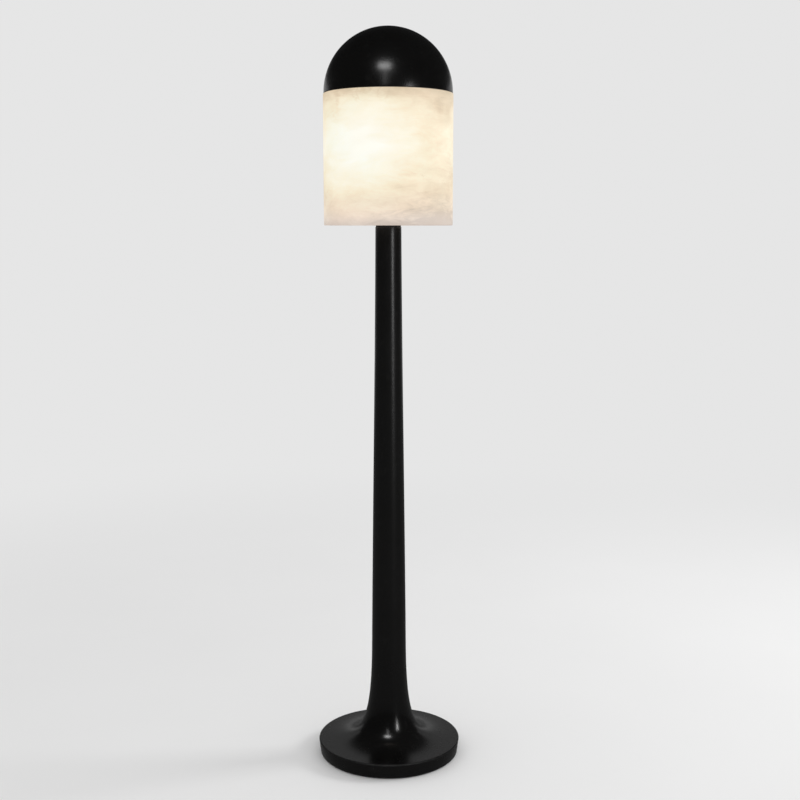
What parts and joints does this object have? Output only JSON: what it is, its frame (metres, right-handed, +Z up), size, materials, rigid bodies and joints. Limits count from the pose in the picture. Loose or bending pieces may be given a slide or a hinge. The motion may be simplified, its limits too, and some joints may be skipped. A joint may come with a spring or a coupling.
{
  "type": "floor lamp",
  "caption": "Standing lamp with a dark domed cap on a lit translucent stone cylinder, on a slim column that flares into a round weighted base.",
  "frame": {"origin": "on the floor under the lamp's axis, at the centre of the felt pad's underside", "axes": "+Z up along the column's axis; -Y is the front and the lead enters the base at the back, +Y"},
  "size_m": [0.2986, 0.2986, 1.5055],
  "materials": {
    "black_coat": "satin black powder coat",
    "alabaster": "honed translucent alabaster, warm white",
    "felt": "pressed felt",
    "black_rubber": "matt",
    "zinc_steel": "zinc plated",
    "plated_brass": "turned",
    "black_plastic": "moulded",
    "white_plastic": "moulded",
    "natural_nylon": "turned",
    "cable_sheath": "smooth sheath",
    "earth_insulation": "smooth, green and yellow",
    "holder_plastic": "moulded thermoset",
    "opal_glass": "opal, lit from inside",
    "circuit_board": "white coated board"
  },
  "bodies": {
    "stand": {"felt_pad": "felt", "base_casting": "black_coat", "bottom_cover": "zinc_steel", "bottom_cover_screws": "zinc_steel", "gland_body": "black_plastic", "gland_seal": "black_rubber", "gland_cap_nut": "black_plastic", "terminal_block": "white_plastic", "terminal_block_screws": "zinc_steel", "terminal_clamp_screws": "zinc_steel", "earth_wire": "earth_insulation", "earth_lug": "zinc_steel", "earth_screw": "zinc_steel", "internal_cable": "cable_sheath", "tie_rod": "zinc_steel", "tie_rod_washer": "zinc_steel", "tie_rod_nut": "zinc_steel", "rod_bushes": "natural_nylon", "column": "black_coat", "column_top_plug": "black_coat", "lower_gasket": "black_rubber", "alabaster_shade": "alabaster", "upper_gasket": "black_rubber", "clamp_plate": "zinc_steel", "head_nut": "zinc_steel", "reducer_coupling": "plated_brass", "holder_riser": "zinc_steel", "riser_locknut": "zinc_steel", "lampholder_cap": "holder_plastic", "lampholder_body": "holder_plastic", "lampholder_screw_shell": "plated_brass", "lampholder_centre_contact": "plated_brass"},
    "bulb": {"bulb_globe": "opal_glass", "bulb_neck": "white_plastic", "bulb_led_board": "circuit_board", "bulb_screw_cap": "plated_brass", "bulb_insulator": "black_plastic", "bulb_centre_contact": "plated_brass"},
    "dome_cap": {"dome_shell": "black_coat", "dome_locating_ring": "black_coat", "dome_gasket": "black_rubber"}
  },
  "joints": [
    {"name": "dome_lift", "type": "slide", "parent": "stand", "child": "dome_cap", "axis": [0, 0, 1], "range_m": [0, 0.06]},
    {"name": "bulb_unscrew", "type": "slide", "parent": "stand", "child": "bulb", "axis": [0, 0, 1], "range_m": [0, 0.035]}
  ]
}
